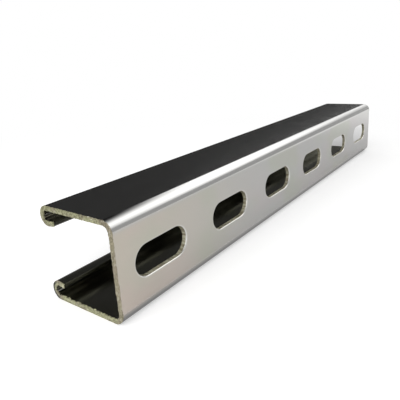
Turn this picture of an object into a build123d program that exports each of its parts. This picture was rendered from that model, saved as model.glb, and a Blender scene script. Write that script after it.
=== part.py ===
"""Slotted strut channel: 41 x 41 x 2.0 mm galvanised steel, cut to 300 mm.

One strip of steel is punched with a row of slots and roll formed into a C: a flat web,
two flanges, and two lips that curl back towards the web and leave the mouth between them.

X runs along the channel, Y from the slotted web to the open mouth, Z up. The channel
lies on its lower flange, with the origin on the floor under the middle of its box.
"""

import os

from build123d import *

# Section, measured over the outside, in mm
channel_height = 41.0  # flange to flange
channel_depth = 41.0  # web to lips
wall = 2.0
mouth = 24.0  # clear gap between the lips
web_bend = 2.8  # inside radius between the web and each flange
lip_end = 3.0  # straight end of each lip, past its half-round curl
lip_tuck = 8.0  # degrees that this end leans away from the mouth
strip_round = 0.4  # corners of the strip's edges

# Length and slots, in mm
channel_length = 300.0
slot_pitch = 50.0
slot_length = 30.0
slot_width = 13.0
first_slot = 24.0  # cut end to the middle of the first slot
slot_rim = 0.5  # edge that the punch rounds over on the outside of the web

slot_count = int((channel_length - first_slot - slot_length / 2) // slot_pitch) + 1
slot_row = (slot_count - 1) * slot_pitch
slot_row_x = first_slot + (slot_row - channel_length) / 2
across = Plane(origin=(0, 0, channel_height / 2), x_dir=(0, 1, 0), z_dir=(1, 0, 0))
web_face = Plane(origin=(0, -channel_depth / 2, channel_height / 2), x_dir=(1, 0, 0), z_dir=(0, -1, 0))

# Middle of the strip's thickness, which the section is drawn along
web_y = (channel_depth - wall) / 2
flange_z = (channel_height - wall) / 2
bend_radius = web_bend + wall / 2
curl_radius = (channel_height - mouth) / 4 - wall / 2

with BuildPart() as strut_channel:
    # Upper half of the C, from the middle of the web round to the end of the lip
    with BuildSketch(across) as section:
        with BuildLine():
            web = Line((-web_y, 0), (-web_y, flange_z - bend_radius))
            bend = JernArc(web @ 1, web % 1, bend_radius, -90)
            flange = Line(bend @ 1, (web_y - curl_radius, flange_z))
            curl = JernArc(flange @ 1, flange % 1, curl_radius, -180 - lip_tuck)
            lip = Line(curl @ 1, curl @ 1 + (curl % 1) * lip_end)
        trace(line_width=wall)
        fillet(section.vertices().sort_by_distance(lip @ 1)[:2], strip_round)
        mirror(about=Plane.XZ)
    extrude(amount=channel_length / 2, both=True)

    # The row of slots, punched through the web from outside
    with BuildSketch(web_face):
        with Locations((slot_row_x, 0)):
            with GridLocations(slot_pitch, 0, slot_count, 1):
                SlotOverall(slot_length, slot_width)
    extrude(amount=-channel_depth / 2, mode=Mode.SUBTRACT)
    punched_face = strut_channel.faces().sort_by(Axis.Y)[0]
    fillet(punched_face.inner_wires().edges(), slot_rim)

strut_channel.part.label = "strut_channel"

os.makedirs("parts", exist_ok=True)
export_step(strut_channel.part, "parts/strut_channel.step")
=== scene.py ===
import bpy
from math import cos, radians, sin
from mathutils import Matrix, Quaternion, Vector


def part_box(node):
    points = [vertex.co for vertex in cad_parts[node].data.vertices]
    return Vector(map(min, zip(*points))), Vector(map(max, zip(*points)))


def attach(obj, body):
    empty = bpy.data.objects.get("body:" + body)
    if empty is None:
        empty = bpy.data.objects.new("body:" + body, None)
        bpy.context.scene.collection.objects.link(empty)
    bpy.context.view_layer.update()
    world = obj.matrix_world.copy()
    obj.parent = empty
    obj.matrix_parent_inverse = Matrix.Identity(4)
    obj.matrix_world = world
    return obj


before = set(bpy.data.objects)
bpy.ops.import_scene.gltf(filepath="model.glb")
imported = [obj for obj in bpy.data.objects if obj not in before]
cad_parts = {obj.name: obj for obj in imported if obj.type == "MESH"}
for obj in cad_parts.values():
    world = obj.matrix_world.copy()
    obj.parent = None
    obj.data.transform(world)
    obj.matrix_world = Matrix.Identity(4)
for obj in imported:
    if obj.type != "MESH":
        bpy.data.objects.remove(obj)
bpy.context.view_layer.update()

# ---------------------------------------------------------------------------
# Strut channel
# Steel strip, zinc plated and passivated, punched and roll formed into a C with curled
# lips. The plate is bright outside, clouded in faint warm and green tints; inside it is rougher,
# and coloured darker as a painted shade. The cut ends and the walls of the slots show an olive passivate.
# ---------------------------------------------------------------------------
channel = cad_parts["strut_channel"]
channel_low, channel_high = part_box("strut_channel")
wall = 0.002
slot_count = 6
slot_length = 0.030
slot_width = 0.013
slot_pitch = 0.050
first_slot = 0.024
slot_rim = 0.0005
middle_z = (channel_low.z + channel_high.z) / 2


def open_tree(tree):
    place = tree.nodes.new("ShaderNodeTexCoord")
    along = tree.nodes.new("ShaderNodeSeparateXYZ")
    tree.links.new(place.outputs["Object"], along.inputs["Vector"])
    return tree.nodes, tree.links, place, along


def noise(name, scale, detail, roughness=0.5, stretch=(1, 1, 1), offset=(0, 0, 0)):
    spread = nodes.new("ShaderNodeMapping")
    spread.inputs["Scale"].default_value = stretch
    spread.inputs["Location"].default_value = offset
    links.new(place.outputs["Object"], spread.inputs["Vector"])
    grain = nodes.new("ShaderNodeTexNoise")
    grain.label = name
    grain.inputs["Scale"].default_value = scale
    grain.inputs["Detail"].default_value = detail
    grain.inputs["Roughness"].default_value = roughness
    links.new(spread.outputs["Vector"], grain.inputs["Vector"])
    return grain.outputs["Fac"]


def between(value, low, high, bottom=0.0, top=1.0, smooth=False):
    step = nodes.new("ShaderNodeMapRange")
    if smooth:
        step.interpolation_type = "SMOOTHSTEP"
    step.inputs["From Min"].default_value = low
    step.inputs["From Max"].default_value = high
    step.inputs["To Min"].default_value = bottom
    step.inputs["To Max"].default_value = top
    links.new(value, step.inputs["Value"])
    return step.outputs["Result"]


def arithmetic(operation, first, second=None):
    working = nodes.new("ShaderNodeMath")
    working.operation = operation
    for socket, value in zip(working.inputs, (first, second)):
        if isinstance(value, (int, float)):
            socket.default_value = value
        elif value is not None:
            links.new(value, socket)
    return working.outputs[0]


def both(first, second):
    return arithmetic("MULTIPLY", first, second)


def distance(first, second):
    return arithmetic("SQRT", arithmetic("ADD", both(first, first), both(second, second)))


def mix(amount, under, over):
    blend = nodes.new("ShaderNodeMix")
    blend.data_type = "RGBA"
    for socket, value in ((blend.inputs[0], amount), (blend.inputs[6], under), (blend.inputs[7], over)):
        if isinstance(value, tuple):
            socket.default_value = (*value, 1)
        elif isinstance(value, (int, float)):
            socket.default_value = value
        else:
            links.new(value, socket)
    return blend.outputs[2]


def bump(height, strength, depth, under=None):
    relief = nodes.new("ShaderNodeBump")
    relief.inputs["Strength"].default_value = strength
    relief.inputs["Distance"].default_value = depth
    links.new(height, relief.inputs["Height"])
    if under is not None:
        links.new(under, relief.inputs["Normal"])
    return relief.outputs["Normal"]


zinc = bpy.data.materials.new("zinc_steel")
zinc.use_nodes = True
nodes, links, place, along = open_tree(zinc.node_tree)
shader = nodes["Principled BSDF"]
shader.inputs["Metallic"].default_value = 1.0

# Plate outside: on the flats a yellower tint towards the near end, with faint pink, straw
# and green clouds. Round the bends the plate is left plain.
half_height = arithmetic("ABSOLUTE", arithmetic("SUBTRACT", along.outputs["Z"], middle_z))
flat = between(half_height, channel_high.z / 2 - 0.0030, channel_high.z / 2 - 0.0060, smooth=True)
warm_end = both(between(along.outputs["X"], -0.17, -0.03, 1.0, 0.0, smooth=True), flat)
plate = mix(warm_end, (0.610, 0.607, 0.593), (0.655, 0.603, 0.520))
cloud_strength = both(flat, 0.5)
pink = between(noise("pink clouds", 55, 2.0, stretch=(0.6, 1, 1)), 0.44, 0.66, smooth=True)
pink_or_straw = mix(warm_end, (0.640, 0.598, 0.598), (0.700, 0.590, 0.540))
plate = mix(both(pink, cloud_strength), plate, pink_or_straw)
green = noise("green clouds", 38, 2.0, stretch=(0.7, 1, 1), offset=(3.1, 1.7, 0.4))
green = between(green, 0.46, 0.64, smooth=True)
plate = mix(both(green, cloud_strength), plate, (0.575, 0.600, 0.500))

# Lengthwise marks of the rolls, and a few longer scratches
rolled = noise("roll marks", 900, 3.0, 0.6, stretch=(0.02, 1, 1))
scratches = noise("scratches", 2600, 2.0, stretch=(0.03, 1, 1.4), offset=(0, 5, 2))
scratches = between(scratches, 0.70, 0.76)
worn = between(noise("wear", 120, 4.0, 0.6), 0.35, 0.70)
plate = mix(both(scratches, both(worn, 0.5)), plate, (0.50, 0.50, 0.46))

# Inside, the plate is rougher, and its colour is darker and a little olive: painted shade for the dim
# inside of the channel
deep_y = between(along.outputs["Y"], channel_high.y - 0.0010, channel_high.y - 0.0040, smooth=True)
off_web = between(along.outputs["Y"], channel_low.y + 0.0014, channel_low.y + 0.0019)
off_flange = between(half_height, channel_high.z / 2 - 0.0014, channel_high.z / 2 - 0.0019)
inside = both(both(deep_y, off_web), off_flange)
outside = arithmetic("SUBTRACT", 1.0, inside)
inside_shade_clouds = between(noise("inside shade clouds", 60, 3.0), 0.4, 0.65)
plate = mix(inside, plate, mix(inside_shade_clouds, (0.36, 0.355, 0.31), (0.30, 0.30, 0.235)))

# The punch draws the plate down round each slot, and there the rim is coloured brighter: a painted
# highlight
from_first = arithmetic("SUBTRACT", along.outputs["X"], channel_low.x + first_slot - slot_pitch / 2)
in_pitch = arithmetic("SUBTRACT", arithmetic("MODULO", from_first, slot_pitch), slot_pitch / 2)
past_straight = arithmetic("SUBTRACT", arithmetic("ABSOLUTE", in_pitch), (slot_length - slot_width) / 2)
from_slot = distance(arithmetic("MAXIMUM", past_straight, 0.0), half_height)
near_rim = between(from_slot, slot_width / 2 + slot_rim * 1.3, slot_width / 2 + slot_rim * 0.8, smooth=True)
on_web = between(along.outputs["Y"], channel_low.y + wall, channel_low.y + slot_rim, smooth=True)
plate = mix(both(near_rim, on_web), plate, (0.84, 0.83, 0.79))
links.new(plate, shader.inputs["Base Color"])

outside_gloss = between(worn, 0.0, 1.0, 0.115, 0.150)
outside_gloss = arithmetic("ADD", outside_gloss, between(rolled, 0.3, 0.7, -0.01, 0.02))
inside_gloss = between(worn, 0.0, 1.0, 0.17, 0.21)
gloss = arithmetic("ADD", both(outside_gloss, outside), both(inside_gloss, inside))
links.new(gloss, shader.inputs["Roughness"])
marks = bump(both(arithmetic("SUBTRACT", rolled, scratches), outside), 0.25, 0.000004)
slight_waves = noise("slight waves", 40, 1.0, stretch=(0.5, 1, 1), offset=(1, 2, 3))
links.new(bump(slight_waves, 0.5, 0.00008, under=marks), shader.inputs["Normal"])

channel.data.materials.clear()
channel.data.materials.append(zinc)

# ---------------------------------------------------------------------------
# Sheared ends
# Both ends are cropped in a press. Each face is torn steel with an olive passivate, a
# little proud and uneven, with a burr along the edge that the blade tore last.
# ---------------------------------------------------------------------------
web_bend = 0.0028
curl_radius = 0.00325
lip_end = 0.0030
lip_tuck = radians(8)
end_proud = 0.00008
skin_thickness = 0.0003

sheared = bpy.data.materials.new("sheared_steel")
sheared.use_nodes = True
nodes, links, place, along = open_tree(sheared.node_tree)
shader = nodes["Principled BSDF"]
shader.inputs["Metallic"].default_value = 0.3
patches = between(noise("patches", 110, 2.0), 0.42, 0.58, smooth=True)
web_cut = between(along.outputs["Y"], channel_low.y + wall * 2.0, channel_low.y + wall * 1.2, 0.0, 0.8)
patches = arithmetic("MAXIMUM", patches, web_cut)
olive = mix(patches, (0.500, 0.500, 0.300), (0.350, 0.300, 0.220))
torn = between(noise("torn grain", 1100, 3.0, 0.65), 0.40, 0.58)
olive = mix(torn, mix(0.75, olive, (0.13, 0.12, 0.07)), olive)
# Bright specks are painted glints, thicker along the top edge where the light falls
painted_glints = between(noise("painted glints", 700, 2.0, offset=(0.3, 0.7, 0.1)), 0.60, 0.67)
top_edge = between(along.outputs["Z"], channel_high.z - 0.0012, channel_high.z - 0.0005)
painted_glints = both(painted_glints, arithmetic("ADD", both(top_edge, 0.7), 0.3))
olive = mix(painted_glints, olive, (0.88, 0.86, 0.72))

# In the slots the punch scored the wall in bright lines from outside to inside
scored = between(noise("scores", 1300, 2.0, stretch=(1, 0.04, 1), offset=(0.7, 0, 0.2)), 0.47, 0.56)
from_middle = arithmetic("ABSOLUTE", along.outputs["X"])
in_slot = between(from_middle, channel_high.x - 0.002, channel_high.x - 0.004)
olive = mix(both(in_slot, both(scored, 0.55)), olive, (0.74, 0.73, 0.56))

# Where the blade entered at the lower lip, the outer edge of the curl is coloured near black: a painted
# dark reflection on its rolled-over edge
from_curl_y = arithmetic("SUBTRACT", along.outputs["Y"], -channel_low.y - wall / 2 - curl_radius)
from_curl_z = arithmetic("SUBTRACT", along.outputs["Z"], channel_low.z + wall / 2 + curl_radius)
from_curl = distance(from_curl_y, from_curl_z)
from_curl = arithmetic("ADD", from_curl, between(torn, 0.0, 1.0, -0.0001, 0.0001))
outer_edge = between(from_curl, curl_radius - 0.0001, curl_radius + 0.0002)
round_curl = between(from_curl_y, 0.0, 0.0016, smooth=True)
lower_lip = between(along.outputs["Z"], 0.0085, 0.0070)
olive = mix(both(outer_edge, both(round_curl, lower_lip)), olive, (0.040, 0.040, 0.026))
links.new(olive, shader.inputs["Base Color"])
links.new(between(torn, 0.0, 1.0, 0.50, 0.32), shader.inputs["Roughness"])
links.new(bump(torn, 0.6, 0.00006), shader.inputs["Normal"])


def pick(piece, test):
    bpy.ops.object.mode_set(mode="EDIT")
    bpy.ops.mesh.select_mode(type="VERT")
    bpy.ops.mesh.select_all(action="DESELECT")
    bpy.ops.object.mode_set(mode="OBJECT")
    for vertex in piece.data.vertices:
        vertex.select = test(vertex.co)
    bpy.ops.object.mode_set(mode="EDIT")
    bpy.ops.mesh.select_mode(type="VERT")


# Cuts every edge that is within a twentieth of the stated length into so many steps
def cut(piece, length, steps):
    bpy.ops.object.mode_set(mode="EDIT")
    bpy.ops.mesh.select_mode(type="EDGE")
    bpy.ops.mesh.select_all(action="DESELECT")
    bpy.ops.object.mode_set(mode="OBJECT")
    points = piece.data.vertices
    for edge in piece.data.edges:
        run = (points[edge.vertices[0]].co - points[edge.vertices[1]].co).length
        edge.select = length * 0.95 < run < length * 1.05
    bpy.ops.object.mode_set(mode="EDIT")
    bpy.ops.mesh.subdivide(number_cuts=steps - 1)
    bpy.ops.object.mode_set(mode="OBJECT")


def displace(piece, name, size, strength, level=0.5, group="", direction="NORMAL"):
    grain = bpy.data.textures.new(name, "CLOUDS")
    grain.noise_scale = size
    grain.noise_depth = 2
    push = piece.modifiers.new(name, "DISPLACE")
    push.texture = grain
    push.strength = strength
    push.mid_level = level
    push.vertex_group = group
    push.direction = direction
    bpy.ops.object.modifier_apply(modifier=push.name)


def thicken(piece, name, thickness):
    skin = piece.modifiers.new(name, "SOLIDIFY")
    skin.thickness = thickness
    skin.offset = -1.0
    bpy.ops.object.modifier_apply(modifier=skin.name)


def twin(piece, name):
    second = piece.copy()
    second.data = piece.data.copy()
    second.name = second.data.name = name
    bpy.context.scene.collection.objects.link(second)
    return second


def finish(piece, material):
    bpy.ops.object.select_all(action="DESELECT")
    piece.select_set(True)
    bpy.context.view_layer.objects.active = piece
    bpy.ops.object.mode_set(mode="EDIT")
    bpy.ops.mesh.select_all(action="SELECT")
    bpy.ops.mesh.remove_doubles(threshold=0.000002)
    bpy.ops.mesh.normals_make_consistent(inside=False)
    bpy.ops.object.mode_set(mode="OBJECT")
    bpy.ops.object.transform_apply(location=True, rotation=True, scale=True)
    bpy.ops.object.shade_smooth_by_angle(angle=radians(50))
    piece.data.materials.clear()
    piece.data.materials.append(material)
    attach(piece, "root")


# Upper half of the section, from the middle of the web round to the end of the lip
half_web = channel_high.z / 2 - wall - web_bend
flange_run = -2 * channel_low.y - wall - web_bend - curl_radius - wall / 2
bpy.ops.object.select_all(action="DESELECT")
bpy.ops.mesh.primitive_plane_add(size=wall, rotation=(0, radians(-90), 0))
near_end = bpy.context.object
near_end.name = "sheared_end_near"
bpy.ops.object.transform_apply(rotation=True)
near_end.location = (channel_low.x - end_proud, 0, middle_z)
burr_side = near_end.vertex_groups.new(name="burr_side")
burr_side.add([v.index for v in near_end.data.vertices if v.co.y > 0], 1.0, "REPLACE")
bpy.ops.object.mode_set(mode="EDIT")
bpy.ops.mesh.select_all(action="SELECT")
bpy.ops.transform.resize(value=(1, 1, half_web / wall))
bpy.ops.transform.translate(value=(0, channel_low.y + wall / 2, half_web / 2))
pick(near_end, lambda co: co.z > half_web / 2)
bend_centre = (channel_low.x - end_proud, channel_low.y + wall + web_bend, middle_z + half_web)
bpy.ops.mesh.spin(steps=18, angle=radians(90), center=bend_centre, axis=(1, 0, 0))
bpy.ops.mesh.extrude_region_move(TRANSFORM_OT_translate={"value": (0, flange_run, 0)})
curl_z = channel_high.z - wall / 2 - curl_radius
curl_centre = (channel_low.x - end_proud, bend_centre[1] + flange_run, curl_z)
bpy.ops.mesh.spin(steps=34, angle=radians(180) + lip_tuck, center=curl_centre, axis=(1, 0, 0))
lip_run = (0, -lip_end * cos(lip_tuck), lip_end * sin(lip_tuck))
bpy.ops.mesh.extrude_region_move(TRANSFORM_OT_translate={"value": lip_run})

# Even squares of about a third of a millimetre, which the tearing can shape
cut(near_end, flange_run, 96)
cut(near_end, half_web, 48)
cut(near_end, lip_end, 9)
cut(near_end, wall, 6)
halves = near_end.modifiers.new("halves", "MIRROR")
halves.use_axis = (False, False, True)
bpy.ops.object.modifier_apply(modifier=halves.name)
thicken(near_end, "skin", skin_thickness)
displace(near_end, "tear", 0.0007, 0.00014)
displace(near_end, "burr", 0.0011, 0.00050, level=0.45, group="burr_side")

# Ragged burr left standing along the inside of the lower flange
ragged = near_end.vertex_groups.new(name="ragged")
flange_end = -channel_low.y - curl_radius - wall / 2
for vertex in near_end.data.vertices:
    on_flange = channel_low.y + wall + web_bend < vertex.co.y < flange_end
    if on_flange and wall * 0.9 < vertex.co.z + near_end.location.z < wall * 1.2:
        ragged.add([vertex.index], 1.0, "REPLACE")
displace(near_end, "ragged", 0.0008, 0.0022, level=0.43, group="ragged", direction="Z")

far_end = twin(near_end, "sheared_end_far")
far_end.rotation_euler.y = radians(180)
far_end.location.x = channel_high.x + end_proud
finish(near_end, sheared)
finish(far_end, sheared)

# ---------------------------------------------------------------------------
# Slot walls
# The punch leaves a bright, scored wall in each of the six slots, with the same olive
# passivate, and a low burr round the edge inside the channel where it broke through.
# ---------------------------------------------------------------------------
slot_proud = 0.00004
slot_burr = 0.00015
round_points = 128
half_straight = (slot_length - slot_width) / 2
bpy.ops.object.select_all(action="DESELECT")
bpy.ops.mesh.primitive_circle_add(
    vertices=round_points, radius=slot_width / 2 - slot_proud, rotation=(radians(90), 0, 0)
)
slot_wall = bpy.context.object
slot_wall.name = "slot_wall_1"
bpy.ops.object.transform_apply(rotation=True)
bpy.ops.object.mode_set(mode="EDIT")
bpy.ops.mesh.select_all(action="SELECT")
half_step = radians(180 / round_points)
bpy.ops.transform.rotate(value=half_step, orient_axis="Y", center_override=(0, 0, 0))
pick(slot_wall, lambda co: co.x > 0)
bpy.ops.transform.translate(value=(half_straight, 0, 0))
pick(slot_wall, lambda co: co.x < 0)
bpy.ops.transform.translate(value=(-half_straight, 0, 0))
bpy.ops.object.mode_set(mode="OBJECT")
cut(slot_wall, half_straight * 2, 56)

# Scored while it is a narrow band, then drawn out to its full depth, so the scores run across
score_depth = 0.00002
bpy.ops.object.mode_set(mode="EDIT")
bpy.ops.mesh.select_all(action="SELECT")
bpy.ops.mesh.extrude_region_move(TRANSFORM_OT_translate={"value": (0, score_depth, 0)})
bpy.ops.mesh.select_all(action="SELECT")
bpy.ops.mesh.normals_make_consistent(inside=True)
bpy.ops.object.mode_set(mode="OBJECT")
displace(slot_wall, "scores", 0.0009, 0.00030, level=0.36)
bpy.ops.object.mode_set(mode="EDIT")
bpy.ops.mesh.select_all(action="SELECT")
wall_run = wall - slot_rim + slot_burr
bpy.ops.transform.resize(value=(1, wall_run / score_depth, 1))
bpy.ops.object.mode_set(mode="OBJECT")
cut(slot_wall, wall_run, 6)
thicken(slot_wall, "backing", skin_thickness / 2)
displace(slot_wall, "scuffs", 0.0005, 0.00005)

slot_walls = [slot_wall]
for number in range(1, slot_count):
    slot_walls.append(twin(slot_wall, f"slot_wall_{number + 1}"))
for number, piece in enumerate(slot_walls):
    piece.location = (
        channel_low.x + first_slot + number * slot_pitch,
        channel_low.y + slot_rim + wall_run / 2,
        middle_z,
    )
    finish(piece, sheared)

# ---------------------------------------------------------------------------
# Floor
# A pale seamless studio floor. It shows the channel's soft shadow, with a painted shadow past the far end,
# and runs out to white.
# ---------------------------------------------------------------------------
bpy.ops.object.select_all(action="DESELECT")
bpy.ops.mesh.primitive_plane_add(size=6.0, location=(0, 0, channel_low.z))
floor = bpy.context.object
floor.name = "floor"
pale = bpy.data.materials.new("pale_floor")
pale.use_nodes = True
nodes, links, place, along = open_tree(pale.node_tree)
paper = nodes["Principled BSDF"]
paper.inputs["Base Color"].default_value = (0.8, 0.8, 0.8, 1)
paper.inputs["Roughness"].default_value = 0.9
paper.inputs["Specular IOR Level"].default_value = 0.0
ray = nodes.new("ShaderNodeLightPath")


def glow_of(strength):
    glow = nodes.new("ShaderNodeEmission")
    if isinstance(strength, float):
        glow.inputs["Strength"].default_value = strength
    else:
        links.new(strength, glow.inputs["Strength"])
    return glow.outputs["Emission"]


def join(amount, under, over):
    joined = nodes.new("ShaderNodeMixShader")
    for socket, value in zip(joined.inputs, (amount, under, over)):
        links.new(value, socket)
    return joined.outputs["Shader"]


# The paper is lifted where it lies open, but the lift is held back past the far end in a
# slantwise narrow band, a painted shadow of the channel
shade_slope = 0.273
past_end = between(along.outputs["X"], channel_high.x - 0.03, channel_high.x + 0.02, smooth=True)
slant = arithmetic("SUBTRACT", along.outputs["Y"], both(along.outputs["X"], shade_slope))
front_side = between(slant, -0.0620, -0.0520, smooth=True)
back_side = between(slant, 0.03, -0.02, smooth=True)
runs_out = between(along.outputs["X"], 0.34, 0.24, smooth=True)
shade = both(past_end, both(both(front_side, back_side), runs_out))
lifted = nodes.new("ShaderNodeAddShader")
links.new(paper.outputs["BSDF"], lifted.inputs[0])
links.new(glow_of(between(shade, 0.0, 1.0, 0.38, 0.0)), lifted.inputs[1])
near_floor = join(ray.outputs["Is Camera Ray"], paper.outputs["BSDF"], lifted.outputs["Shader"])

# Towards its edge the floor turns into the white of the room behind it
reach = nodes.new("ShaderNodeVectorMath")
reach.operation = "LENGTH"
links.new(place.outputs["Object"], reach.inputs[0])
fade = between(reach.outputs["Value"], 0.17, 0.42, smooth=True)
seen = arithmetic("MAXIMUM", ray.outputs["Is Camera Ray"], ray.outputs["Is Glossy Ray"])
whole_floor = join(both(seen, fade), near_floor, glow_of(1.0))
links.new(whole_floor, nodes["Material Output"].inputs["Surface"])
floor.data.materials.append(pale)

# ---------------------------------------------------------------------------
# Studio light
# An even white room with one large soft box, high off the near end. Sheets overhead, in
# front of the web, behind the mouth and at the web's foot show only in the bright plate; the dark ones
# behind the mouth and at the foot are painted shade.
# ---------------------------------------------------------------------------
world = bpy.data.worlds.new("studio")
bpy.context.scene.world = world
world.use_nodes = True
nodes, links = world.node_tree.nodes, world.node_tree.links
room = nodes["Background"]
room.inputs["Color"].default_value = (1, 1, 1, 1)
ray = nodes.new("ShaderNodeLightPath")
seen = arithmetic("MAXIMUM", ray.outputs["Is Camera Ray"], ray.outputs["Is Glossy Ray"])
seen = arithmetic("MAXIMUM", seen, ray.outputs["Is Transmission Ray"])
links.new(between(seen, 0.0, 1.0, 0.65, 1.0), room.inputs["Strength"])

box_heading, box_height, box_distance = radians(190), radians(34), 0.75
towards = Vector((cos(box_heading) * cos(box_height), sin(box_heading) * cos(box_height), sin(box_height)))
lamp = bpy.data.lights.new("end_box", "AREA")
lamp.shape = "RECTANGLE"
lamp.size = 0.85
lamp.size_y = 0.85
lamp.energy = 3.4
end_box = bpy.data.objects.new("end_box", lamp)
end_box.location = towards * box_distance
end_box.rotation_mode = "QUATERNION"
end_box.rotation_quaternion = towards.to_track_quat("Z", "Y")
end_box.visible_glossy = False
bpy.context.scene.collection.objects.link(end_box)


# A sheet is a plane with its place in its mesh, so that its brightness can be graded in the
# channel's own coordinates. It hangs upright where its range in Y is nothing.
def sheet(name, x_range, y_range, z_range):
    bpy.ops.object.select_all(action="DESELECT")
    bpy.ops.mesh.primitive_plane_add(size=1.0)
    card = bpy.context.object
    card.name = name
    card.scale = (x_range[1] - x_range[0], (y_range[1] - y_range[0]) or (z_range[1] - z_range[0]), 1)
    if y_range[0] == y_range[1]:
        card.rotation_euler.x = radians(90)
    card.location = (sum(x_range) / 2, sum(y_range) / 2, sum(z_range) / 2)
    bpy.ops.object.transform_apply(location=True, rotation=True, scale=True)
    card.visible_camera = False
    card.visible_diffuse = False
    card.visible_shadow = False
    card_glow = bpy.data.materials.new(name)
    card_glow.use_nodes = True
    card.data.materials.append(card_glow)
    card_glow.node_tree.nodes.remove(card_glow.node_tree.nodes["Principled BSDF"])
    return open_tree(card_glow.node_tree)


def light_up(strength):
    links.new(glow_of(strength), nodes["Material Output"].inputs["Surface"])


# Overhead silk over the whole length: brightest over the near part, softer towards the far
# end and towards its front edge, and shaded over the near end on the side of the mouth
silk_low = 0.44
nodes, links, place, along = sheet("overhead_silk", (-0.6, 3.2), (-0.95, 0.80), (0.50, 0.50))
full = between(along.outputs["X"], 0.70, 1.50, 1.75, 1.2, smooth=True)
drift = between(along.outputs["X"], 0.50, 1.60, 0.0, -0.5, smooth=True)
front_edge = between(arithmetic("ADD", along.outputs["Y"], drift), -0.95, -0.30)
lean = arithmetic("SUBTRACT", along.outputs["X"], both(along.outputs["Y"], 0.65))
shade_to_far = between(lean, 0.05, 0.36, smooth=True)
shade_to_near = between(lean, 0.0, -0.3, 0.0, 0.8, smooth=True)
near_shade = arithmetic("MAXIMUM", shade_to_far, shade_to_near)
silk = arithmetic("ADD", silk_low, both(arithmetic("SUBTRACT", full, silk_low), front_edge))
light_up(both(silk, near_shade))

# Low grey screen in front of the web, all along its flat
nodes, links, place, along = sheet("low_screen", (-0.4, 2.4), (-0.50, -0.50), (0.0, 0.27))
light_up(0.46)

# Dark sheet behind the lips, seen only in the plate: a painted shade behind the mouth, a little lighter
# towards the far end and near the floor
nodes, links, place, along = sheet("behind_shade_sheet", (-0.30, 0.45), (0.05, 0.05), (0.002, 0.090))
shade_sheet_top = between(along.outputs["X"], -0.10, 0.30, 0.035, 0.055)
shade_sheet_foot = between(along.outputs["Z"], 0.034, 0.028, 0.0, 0.05, smooth=True)
light_up(arithmetic("ADD", shade_sheet_top, shade_sheet_foot))

# Strip lying on the floor along the web's foot, seen only in the plate: a painted contact shadow, darker
# where it goes under the lower bend
foot_shadow_sheet = sheet("foot_shadow_sheet", (-0.15, 0.15), (-0.0260, -0.0120), (0.0003, 0.0003))
nodes, links, place, along = foot_shadow_sheet
light_up(between(along.outputs["Y"], -0.0260, -0.0205, 0.62, 0.28))

# ---------------------------------------------------------------------------
# Camera
# Close to the near end, a little above the channel, looking along its slotted web.
# ---------------------------------------------------------------------------
lens = bpy.data.cameras.new("camera")
lens.lens = 38.8
lens.shift_y = -0.05
lens.clip_start = 0.01
camera = bpy.data.objects.new("camera", lens)
camera.location = (-0.2388, -0.1267, 0.0937)
azimuth, elevation, roll = radians(-52.76), radians(16.5), radians(-3.85)
back = Vector((sin(azimuth) * cos(elevation), -cos(azimuth) * cos(elevation), sin(elevation)))
camera.rotation_mode = "QUATERNION"
camera.rotation_quaternion = (-back).to_track_quat("-Z", "Y") @ Quaternion((0, 0, 1), roll)
bpy.context.scene.collection.objects.link(camera)
bpy.context.scene.camera = camera
bpy.context.scene.view_settings.view_transform = "Standard"
